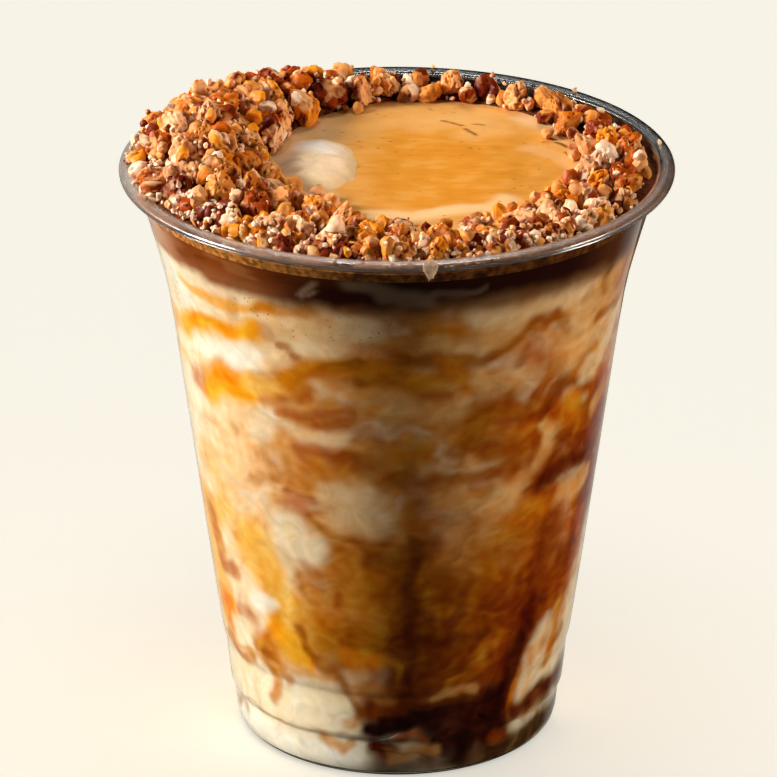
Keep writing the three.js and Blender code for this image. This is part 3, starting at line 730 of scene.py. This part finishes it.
def ring_place(x, y):
    """Where a point lies from the pool (0) to the wall (1), the pool's edge there and the heap's crest."""
    away = math.hypot(x, y) or 1.0
    ux, uy = x / away / POOL_HALF_X, y / away / POOL_HALF_Y
    px, py = POOL_X / POOL_HALF_X, POOL_Y / POOL_HALF_Y
    along, square = ux * px + uy * py, ux * ux + uy * uy
    inner = (along + math.sqrt(along * along + square * (1 - px * px - py * py))) / square
    turn = math.atan2(x, -y) - HEAP_PEAK
    crest = HEAP_LOWEST + (HEAP_HIGHEST - HEAP_LOWEST) * (0.5 + 0.5 * math.cos(turn)) ** HEAP_SHARPNESS
    return (away - inner) / (HEAP_RADIUS - inner), inner, crest


def heap_height(x, y):
    share, _, crest = ring_place(x, y)
    if share <= 0 or share >= 1.08:
        return 0.0
    rise = math.sin(math.pi * min(0.5, share * 0.8)) ** 0.8
    fall = 1 if share < 0.62 else 1 - 0.45 * ((share - 0.62) / 0.38) ** 2
    return crest * rise * fall


def lay_nuts(seed):
    """The large and medium nuts, where the solid has them, as (x, y, z, size), largest first."""
    draw = Draw(seed)
    nuts = []
    for _ in range(90000):
        if len(nuts) == NUT_COUNT:
            break
        size = NUT_LARGEST + (NUT_SMALLEST - NUT_LARGEST) * (len(nuts) / NUT_COUNT) ** 0.5
        angle, away = math.tau * draw(), HEAP_REACH * math.sqrt(draw())
        x, y = away * math.cos(angle), away * math.sin(angle)
        _, inner, crest = ring_place(x, y)
        over_rim = 2.6 * float(smooth(5.5, 8, crest))
        in_pool = away - inner < 0.3 * size - 0.8
        outside = away + 0.5 * size > HEAP_RADIUS + 0.8 + over_rim
        too_tall = size > 6.6 and crest < 4.6 + 2 * draw()
        if in_pool or outside or too_tall:
            continue
        if any(math.hypot(n[0] - x, n[1] - y) < NUT_PACKING * (n[3] + size) for n in nuts):
            continue
        nuts.append((x, y, CREMA_TOP + max(0.3 * size, heap_height(x, y) - 0.28 * size), size))
        for _ in range(4):
            draw()
    return nuts


def chopped_lump(seed, detail):
    """One piece of nut, about 1 across: a bent, folded kernel with a few breaks, its skin, and its folds
    and hollows with painted shade.
    """
    deselect()
    bpy.ops.mesh.primitive_ico_sphere_add(subdivisions=detail, radius=0.5)
    lump = bpy.context.object
    draw = Draw(seed)
    shift = (draw() * 40, draw() * 40, draw() * 40)
    way = places(lump) * MM * 2
    lobes = noise_at(way + shift, 0.85, 41) + 0.4 * noise_at(way + shift, 0.42, 44)
    folds_and_shade = smooth(0.14, 0.0, np.abs(noise_at(way + shift, 0.46, 42)))
    reach = 0.5 * (1 + 0.42 * lobes) - 0.1 * folds_and_shade
    # Painted shade: the hollows between lobes are darkened as well as the folds
    folds_and_shade = np.maximum(folds_and_shade, 0.55 * smooth(-0.05, -0.5, lobes))
    broken = np.full(len(way), 9.0)
    for _ in range(2 + int(2.5 * draw())):
        away = Vector((draw() - 0.5, draw() - 0.5, draw() - 0.5)).normalized()
        depth = 0.3 + 0.14 * draw()
        facing = way @ np.array(away)
        broken = np.minimum(broken, np.where(facing > 0.2, depth / np.maximum(facing, 0.2), 9.0))
    skin = smooth(-0.02, 0.04, broken - reach)
    rounded = 0.02 - np.log(np.exp(-50 * reach) + np.exp(-50 * np.minimum(broken, 2.0))) / 50
    rough = 1 + 0.14 * noise_at(way + shift, 0.22, 43)
    rounded = rough * rounded / (1 + (rounded / 0.66) ** 6) ** (1 / 6)
    points = way * rounded[:, None] * (1.2, 0.8 + 0.25 * draw(), 0.75 + 0.25 * draw())
    points[:, 2] += (0.7 * draw() - 0.1) * (points[:, 0] ** 2 - 0.08)
    faces = [tuple(f.vertices) for f in lump.data.polygons]
    bpy.data.objects.remove(lump)
    return points, np.array(faces), skin, folds_and_shade


# How the pieces at a place (x, y) are roasted: paleness of the flesh, paleness of the skin, share of skin
ROASTS = [
    (-44, 10, 0.5, 0.05, 1.0), (-40, 1, 0.6, 0.5, 0.8), (-36, 14, 0.75, 0.75, 0.3),
    (-30, 17, 0.7, 0.6, 0.5), (-24, 11, 0.6, 0.95, 0.7), (-27, -9, 0.6, 0.9, 0.7),
    (-27, -21, 0.85, 0.8, 0.0), (-43, -5, 0.95, 0.8, 0.0), (-41, -13, 0.9, 0.7, 0.3),
    (-30, -27, 0.3, 0.0, 1.0), (-25, -32, 0.7, 0.95, 0.8), (-12, -34, 0.9, 0.9, 0.1),
    (-11, -40, 0.2, 0.0, 1.0), (-20, 31, 0.6, 0.5, 0.9), (-12, 31, 0.1, 0.15, 1.0),
    (-17, 29, 0.6, 0.9, 0.5), (-2, 39, 0.7, 0.8, 0.3), (10, -27, 0.4, 0.35, 1.0),
    (31, -7, 0.4, 0.4, 0.8), (36, 5, 1.0, 0.8, 0.0), (37, -4, 0.5, 0.3, 1.0), (32, -23, 0.9, 0.8, 0.1),
]


# Broken flesh is pale and takes a soft light into it. Skin is orange where thin and mahogany where
# roasted hard, and the folds and hollows are darker still, from their skin and from painted shade.
roasted_nut, add = new_material("roasted_chopped_walnut")
where = add("TexCoord").outputs["Object"]
tint = add("VertexColor", {"layer_name": "tint"})
parts = add("SeparateColor", Color=tint)
flesh = add("ValToRGB", Fac=parts.outputs[1])
husk = add("ValToRGB", Fac=parts.outputs[2])
for node, first, (low, low_code), (high, high_code), last in [
    (flesh, "#BE742C", (0.3, "#DE9244"), (0.7, "#ECAE74"), "#F4D4B4"),
    (husk, "#6A1E06", (0.35, "#A64208"), (0.7, "#D06C0E"), "#E88E1E"),
]:
    node.color_ramp.elements[0].color = linear(first)
    node.color_ramp.elements[1].color = linear(last)
    node.color_ramp.elements.new(low).color = linear(low_code)
    node.color_ramp.elements.new(high).color = linear(high_code)
mottle = add("TexNoise", Vector=where, Scale=1 / (2.6 * MM), Detail=4.0)
patchy = add("Math", {"operation": "ADD"}, i0=parts, i1=mottle)
skinned = add("MapRange", Value=patchy, From_Min=0.84, From_Max=1.12)
nut_colour = add("Mix", RGBA, i0=skinned, i6=flesh, i7=husk)
# Darker skin and painted shade in the folds and hollows
fold_shade = add("MapRange", Value=tint.outputs["Alpha"], To_Min=0.0, To_Max=0.7)
fold_shaded = add("Mix", RGBA, i0=fold_shade, i6=nut_colour.outputs[2], i7=linear("#6E2002"))
wrinkles = add("TexNoise", Vector=where, Scale=1 / (0.8 * MM), Detail=3.0)
nut_relief = add("Bump", Strength=0.3, Distance=0.25 * MM, Height=wrinkles)
kernel = add(
    "BsdfPrincipled", Base_Color=fold_shaded.outputs[2], Roughness=0.42, Specular_IOR_Level=0.18,
    Subsurface_Weight=0.25, Subsurface_Radius=(1.0, 0.4, 0.15), Subsurface_Scale=1.0 * MM,
    Normal=nut_relief,
)
add("OutputMaterial", Surface=kernel)


def nut_mesh(name, points, faces, tints):
    """A piece of the ring, with each point's tint: skin, paleness of flesh and of skin, and folds with
    their painted shade.
    """
    mesh = bpy.data.meshes.new(name)
    mesh.from_pydata((points * MM).tolist(), [], faces.tolist())
    tint = mesh.color_attributes.new("tint", "FLOAT_COLOR", "POINT")
    tint.data.foreach_set("color", tints.astype(np.float32).ravel())
    piece = bpy.data.objects.new(name, mesh)
    bpy.context.scene.collection.objects.link(piece)
    select_only(piece)
    bpy.ops.object.shade_smooth_by_angle(angle=math.radians(34))
    mesh.materials.append(roasted_nut)
    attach(piece, "root")
    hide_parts("chopped_nuts")


def scatter(name, lumps, laid, seed, paleness=0.0):
    """One mesh of many pieces: a copy of a lump, turned its own way, at each (x, y, z, size) in mm."""
    draw = Draw(seed)
    points, faces, tints, count = [], [], [], 0
    for x, y, z, size in laid:
        lump, sides, skin, folds_and_shade = lumps[int(draw() * len(lumps))]
        turn = Euler((math.tau * draw(), math.tau * draw(), math.tau * draw())).to_matrix()
        points.append((lump @ np.array(turn).T) * 0.82 * size + (x, y, z))
        faces.append(sides + count)
        tone, kind = (float(smooth(0.12, 0.88, draw())) for _ in range(2))
        front_left = float(smooth(-6, -26, x) * smooth(0, -16, y))
        pale = paleness + (0.3 * front_left if size < 5 else 0)
        tone = min(1, pale + (1 - pale) * tone) * (1 if size < 4 else 0.75)
        share = 0.15 + 0.85 * draw() ** 1.7 - 0.5 * pale
        for roast_x, roast_y, *roast in ROASTS:
            if size > 3 and math.hypot(x - roast_x, y - roast_y) < ROAST_REACH:
                tone, kind, share = roast
        covered = np.clip(0.24 + skin * (0.08 + 0.6 * share) + 0.9 * max(0, share - 0.65), 0, 1)
        same = np.ones(len(lump))
        # Painted shade in the folds, less of it on small pieces
        crease_shade = folds_and_shade * float(smooth(1.2, 4.5, size))
        tints.append(np.column_stack([covered, tone * same, kind * same, crease_shade]))
        count += len(lump)
    nut_mesh(name, np.concatenate(points), np.concatenate(faces), np.concatenate(tints))


large = lay_nuts(21)
lumps = [chopped_lump(seed, 4) for seed in range(1, 9)]
small_lumps = [chopped_lump(seed, 3) for seed in range(11, 21)]
scatter("chopped_nuts_large", lumps, large[:LARGE_NUTS], 31)
scatter("chopped_nuts_medium", small_lumps, large[LARGE_NUTS:], 32)

# Nut bits and crumbs: what falls between the larger pieces, most of it at the front by the wall. On
# the left they lie out over the rim, and a few stick on the rim elsewhere.
draw = Draw(51)


def strew(count, smallest, largest, sunk, resting, below):
    """Places for small pieces: a share of them rests on the pieces below, the others lie among them."""
    laid = []
    below = np.array(below)
    while len(laid) < count:
        angle, away = math.tau * draw(), CRUMB_REACH * math.sqrt(draw())
        if draw() < 0.35:
            angle, away = math.radians(-150 + 120 * draw()), 40 + 8 * draw()
        x, y = away * math.cos(angle), away * math.sin(angle)
        size = smallest + (largest - smallest) * draw()
        share, _, crest = ring_place(x, y)
        outer = away + 0.5 * size
        if share < 0.0 or outer > INSIDE_WALL + 3.2 * float(smooth(5.5, 8, crest)):
            continue
        z = CREMA_TOP + 0.3 + max(0.3 * size, heap_height(x, y) - 0.4 - sunk * draw())
        if draw() < resting:
            near = np.hypot(below[:, 0] - x, below[:, 1] - y)
            radius = 0.42 * below[:, 3]
            tops = below[:, 2] + 0.8 * np.sqrt(np.maximum(radius**2 - near**2, 0))
            z = max(z, tops[near < radius].max(initial=0) + 0.25 * size)
        if z + 0.5 * size > HIGHEST_NUT:
            continue
        laid.append((x, y, z if outer < ON_RIM else max(z, CUP_HEIGHT + 0.35 * size), size))
    return laid


# Single pieces at the pool's edge, as (x, y, size)
LOOSE_NUTS = [
    (26, -15, 5.0), (22.5, -19, 4.6), (28.5, -10, 4.4), (18, -22.5, 4.8), (30.5, -4.5, 4.0), (24, -12, 2.6),
    (20, -16.5, 2.4), (13.5, -23.5, 3.6), (31.5, 9, 3.4), (27, 19.5, 3.2), (-7, 32, 2.8), (-16, -17, 4.4),
    (-11.5, -21, 3.6), (-3, -25.5, 3.0), (26.5, -8, 1.8), (15.5, -19.8, 1.8), (5, -27, 2.6),
    (-14, -11.5, 4.2), (-18.4, -7.6, 4.4), (-11.2, -15, 4.0), (-9, -18.6, 3.2), (-7.2, -23, 3.6),
]
bits = [(x, y, CREMA_TOP + 0.3 * size, size) for x, y, size in LOOSE_NUTS]
bits += strew(410, 2.0, 4.2, 2.6, 0.12, large)
scatter("nut_bits", [chopped_lump(seed, 2) for seed in range(61, 71)], bits, 33, 0.3)

# Crumbs stuck on the rim, as (degrees round, size)
RIM_CRUMBS = [
    (-88, 1.7), (-76, 1.2), (-13, 1.3), (-7, 1.0), (-1, 1.1), (2.5, 1.2), (7, 1.5), (16, 0.8), (34, 0.9),
    (100, 1.2), (137, 1.4), (172, 1.3), (-170, 1.4),
]
crumbs = strew(1200, 0.7, 1.8, 2.2, 0.25, large + bits)
for angle, size in RIM_CRUMBS:
    turn = math.radians(angle)
    crumbs.append((RIM_CREST * math.sin(turn), -RIM_CREST * math.cos(turn), CUP_HEIGHT + 0.3 * size, size))
scatter("nut_crumbs", [chopped_lump(seed, 1) for seed in range(81, 89)], crumbs, 34, 0.7)

# Flake: one thin chip of pale nut that hangs over the rim in front, narrow at its lower end. It is
# pressed against the rim's outer face.
FLAKE_HEIGHT, FLAKE_OUT, FLAKE_TURN = 105.8, 48.55, math.radians(6.6)
flake_points, flake_faces, _, _ = chopped_lump(92, 3)
flake_points = flake_points * (2.7, 0.5, 4.6)
flake_points[:, 0] *= 0.72 + 0.14 * flake_points[:, 2]
along, out = flake_points[:, 0], FLAKE_OUT - np.clip(flake_points[:, 1], -0.35, 0.4)
flake_points = np.column_stack([
    along * math.cos(FLAKE_TURN) + out * math.sin(FLAKE_TURN),
    along * math.sin(FLAKE_TURN) - out * math.cos(FLAKE_TURN),
    FLAKE_HEIGHT + flake_points[:, 2],
])
pale_flesh = np.tile((0.0, 0.95, 0.7, 0.0), (len(flake_points), 1))
nut_mesh("nut_flake_over_the_rim", flake_points, flake_faces, pale_flesh)

# Core of the nut ring: the finest of the nuts, soaked dark by the coffee under them and painted darker
# still for the shade deep in the gaps, as a thin bed that shows only in the gaps between pieces.
CORE_DEPTH, CORE_RADIUS, CORE_THICKNESS = 2.4, 45.2, 0.5
FROM_POOL = 1.2


def thicken(piece, depth):
    """Gives the selected sheet a depth in millimetres, on the side away from its normals."""
    wall = piece.modifiers.new("depth", "SOLIDIFY")
    wall.thickness = depth * MM
    wall.offset = -1
    bpy.ops.object.modifier_apply(modifier=wall.name)


deselect()
bpy.ops.mesh.primitive_grid_add(x_subdivisions=180, y_subdivisions=10, size=1)
core = bpy.context.object
core.name = "nut_ring_core"
for vertex in core.data.vertices:
    turn = math.tau * (vertex.co.x + 0.5)
    across = vertex.co.y + 0.5
    ux, uy = math.cos(turn), math.sin(turn)
    _, inner, _ = ring_place(ux, uy)
    radius = inner + FROM_POOL + across * (CORE_RADIUS - inner - FROM_POOL)
    height = CREMA_TOP + max(0.1, heap_height(ux * radius, uy * radius) - CORE_DEPTH)
    vertex.co = (ux * radius * MM, uy * radius * MM, height * MM)
select_only(core)
bpy.ops.object.mode_set(mode="EDIT")
bpy.ops.mesh.select_all(action="SELECT")
bpy.ops.mesh.remove_doubles(threshold=0.01 * MM)
bpy.ops.mesh.normals_make_consistent(inside=False)
bpy.ops.object.mode_set(mode="OBJECT")
bpy.ops.object.shade_smooth()
thicken(core, CORE_THICKNESS)

nut_meal, add = new_material("soaked_nut_meal_with_painted_gap_shade")
where = add("TexCoord").outputs["Object"]
speckle = add("TexNoise", Vector=where, Scale=1 / (1.2 * MM), Detail=3.0)
# Near black: the meal is soaked dark, and painted darker for the shade deep in the gaps
meal = add("ValToRGB", Fac=speckle)
for element, position, code in zip(meal.color_ramp.elements, (0.4, 0.7), ("#260A04", "#6A3214")):
    element.position = position
    element.color = linear(code)
bed = add("BsdfPrincipled", Base_Color=meal, Roughness=0.8, Specular_IOR_Level=0.15)
add("OutputMaterial", Surface=bed)
core.data.materials.append(nut_meal)
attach(core, "root")
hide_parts("chopped_nuts")


# Caramel sauce: a thick dark run of sauce down the inside of the wall at the right, and the pool
# that it feeds on the floor of the cup. It is cooked dark, and amber at its thin edges.
CARAMEL_STREAK = [
    (76, 66, 2.2), (66, 61.5, 3.6), (56, 57, 3.4), (51, 49, 2.8),
    (49, 40, 2.9), (45, 30, 3.1), (38, 20, 3.4), (30, 11, 3.8),
]
CARAMEL_POOL = [
    (-9, 6.6, 2.2), (2, 7.4, 4.0), (14, 8.2, 5.2), (28, 8.4, 5.6), (40, 7.0, 4.6), (50, 6.0, 2.6),
]
BAND_FACES_ACROSS = 16
RUN_DEPTH, POOL_DEPTH = 1.4, 3.0


def sauce_band(name, path, depth, steps):
    """A wavy band of sauce on the wall's inner face, along (degrees round, height, half width) points."""
    deselect()
    bpy.ops.mesh.primitive_grid_add(x_subdivisions=steps, y_subdivisions=BAND_FACES_ACROSS, size=1)
    band = bpy.context.object
    band.name = name
    knots = np.linspace(0, 1, len(path))
    for vertex in band.data.vertices:
        share, side = vertex.co.x + 0.5, 2 * vertex.co.y
        angle, height, half = (np.interp(share, knots, column) for column in zip(*path))
        onward = [np.interp(min(1, share + 0.02), knots, column) for column in zip(*path)]
        back = [np.interp(share - 0.02, knots, column) for column in zip(*path)]
        along = Vector(((onward[0] - back[0]) * DEGREE, onward[1] - back[1])).normalized()
        half *= math.sin(math.pi * min(0.95, max(0.05, share))) ** 0.4
        half *= 1 + 0.2 * math.sin(share * 31) * math.sin(share * 13 + 1)
        z = max(1.6, height + side * half * along.x)
        turn = math.radians(angle) - side * half * along.y / (cup_radius(z) - WALL)
        radius = cup_radius(z) - WALL + INTO_WALL + 0.08 - 0.5 * abs(side) ** 8
        vertex.co = (radius * math.sin(turn) * MM, -radius * math.cos(turn) * MM, z * MM)
    marbled(places(band)).keep_on(band)
    select_only(band)
    bpy.ops.object.mode_set(mode="EDIT")
    bpy.ops.mesh.select_all(action="SELECT")
    middle = band.data.polygons[len(band.data.polygons) // 2]
    if middle.normal.xy.dot(middle.center.xy) < 0:
        bpy.ops.mesh.flip_normals()
    bpy.ops.object.mode_set(mode="OBJECT")
    thicken(band, depth)
    bpy.ops.object.shade_smooth()
    return band


caramel, add = new_material("dark_caramel_sauce")
painted = add("VertexColor", {"layer_name": "paint"})
syrup = add("BsdfPrincipled", Base_Color=painted, Roughness=0.3, Specular_IOR_Level=0.0)
add("OutputMaterial", Surface=syrup)
for name, path, depth, steps in [
    ("caramel_run", CARAMEL_STREAK, RUN_DEPTH, 90),
    ("caramel_pool", CARAMEL_POOL, POOL_DEPTH, 80),
]:
    band = sauce_band(name, path, depth, steps)
    band.data.materials.append(caramel)
    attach(band, "root")
    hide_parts("caramel_sauce")


# Studio: a floor of pale paper, a large soft key light from the left, and weaker ones from the right
# and from above at the back. These light the dessert alone, and a wide sun lights the floor alone, so
# that it stays as even as the photograph's background.
PAPER = "#F7F3E7"
deselect()
bpy.ops.mesh.primitive_plane_add(size=6)
floor = bpy.context.object
floor.name = "studio_floor"
paper, add = new_material("pale_studio_paper")
sheet = add(
    "BsdfPrincipled", Base_Color=linear(PAPER), Roughness=0.9, Specular_IOR_Level=0.0,
    Emission_Color=linear(PAPER), Emission_Strength=0.6,
)
add("OutputMaterial", Surface=sheet)
floor.data.materials.append(paper)
floor.visible_diffuse = floor.visible_glossy = floor.visible_transmission = False

dessert_only = bpy.data.collections.new("dessert_only")
for piece in bpy.context.scene.objects:
    if piece.type == "MESH" and piece != floor:
        dessert_only.objects.link(piece)
floor_only = bpy.data.collections.new("floor_only")
floor_only.objects.link(floor)


def area_light(name, place, size, watts, colour):
    data = bpy.data.lights.new(name, "AREA")
    data.shape = "DISK"
    data.size = size
    data.energy = watts
    data.color = linear(colour)[:3]
    light = bpy.data.objects.new(name, data)
    light.location = place
    light.rotation_euler = (Vector((0, 0, 0.06)) - Vector(place)).to_track_quat("-Z", "Y").to_euler()
    bpy.context.scene.collection.objects.link(light)
    light.light_linking.receiver_collection = dessert_only
    return light


area_light("key", (-0.95, -0.12, 0.5), 0.4, 24, "#FFFAF4")
area_light("side", (0.85, -0.14, 0.25), 0.35, 7.5, "#FFF6EC").visible_glossy = False
area_light("top", (0.0, 0.55, 0.85), 0.35, 3, "#FFFFFF").visible_glossy = False
floor_sun = bpy.data.lights.new("floor_wash", "SUN")
floor_sun.energy = 1.06
floor_sun.angle = math.radians(60)
floor_wash = bpy.data.objects.new("floor_wash", floor_sun)
bpy.context.scene.collection.objects.link(floor_wash)
floor_wash.light_linking.receiver_collection = floor_only

# A dark card behind the cup, which only the rim's reflections and the clear wall see
deselect()
bpy.ops.mesh.primitive_plane_add(size=1, location=(0.28, 0.2, 0.15), rotation=(math.radians(90), 0, 0))
dark_card = bpy.context.object
dark_card.name = "dark_card_behind_the_rim"
dark_card.scale = (0.6, 0.32, 1)
bpy.ops.object.transform_apply(location=True, rotation=True, scale=True)
felt, add = new_material("black_studio_felt")
nap = add("BsdfPrincipled", Base_Color=linear("#2A2A30"), Roughness=1.0)
add("OutputMaterial", Surface=nap)
dark_card.data.materials.append(felt)
dark_card.visible_camera = dark_card.visible_diffuse = dark_card.visible_shadow = False

# The room is dim, and in reflections it is bright beyond the cup, where the sides of its wall mirror it
world = bpy.data.worlds.new("studio")
bpy.context.scene.world = world
world.use_nodes = True
add = functools.partial(add_node, world.node_tree)
room = world.node_tree.nodes["Background"]
room.inputs["Color"].default_value = linear(PAPER)
bounced = add("LightPath").outputs["Is Glossy Ray"]
where = add("TexCoord").outputs["Generated"]
beyond = add("SeparateXYZ", Vector=where).outputs["Y"]
mirrored = add("MapRange", Value=beyond, From_Min=0.6, From_Max=0.88, To_Min=0.02, To_Max=0.5)
surroundings = add("MapRange", Value=bounced, To_Min=0.07, To_Max=mirrored)
world.node_tree.links.new(surroundings.outputs[0], room.inputs["Strength"])
bpy.context.scene.view_settings.view_transform = "Standard"
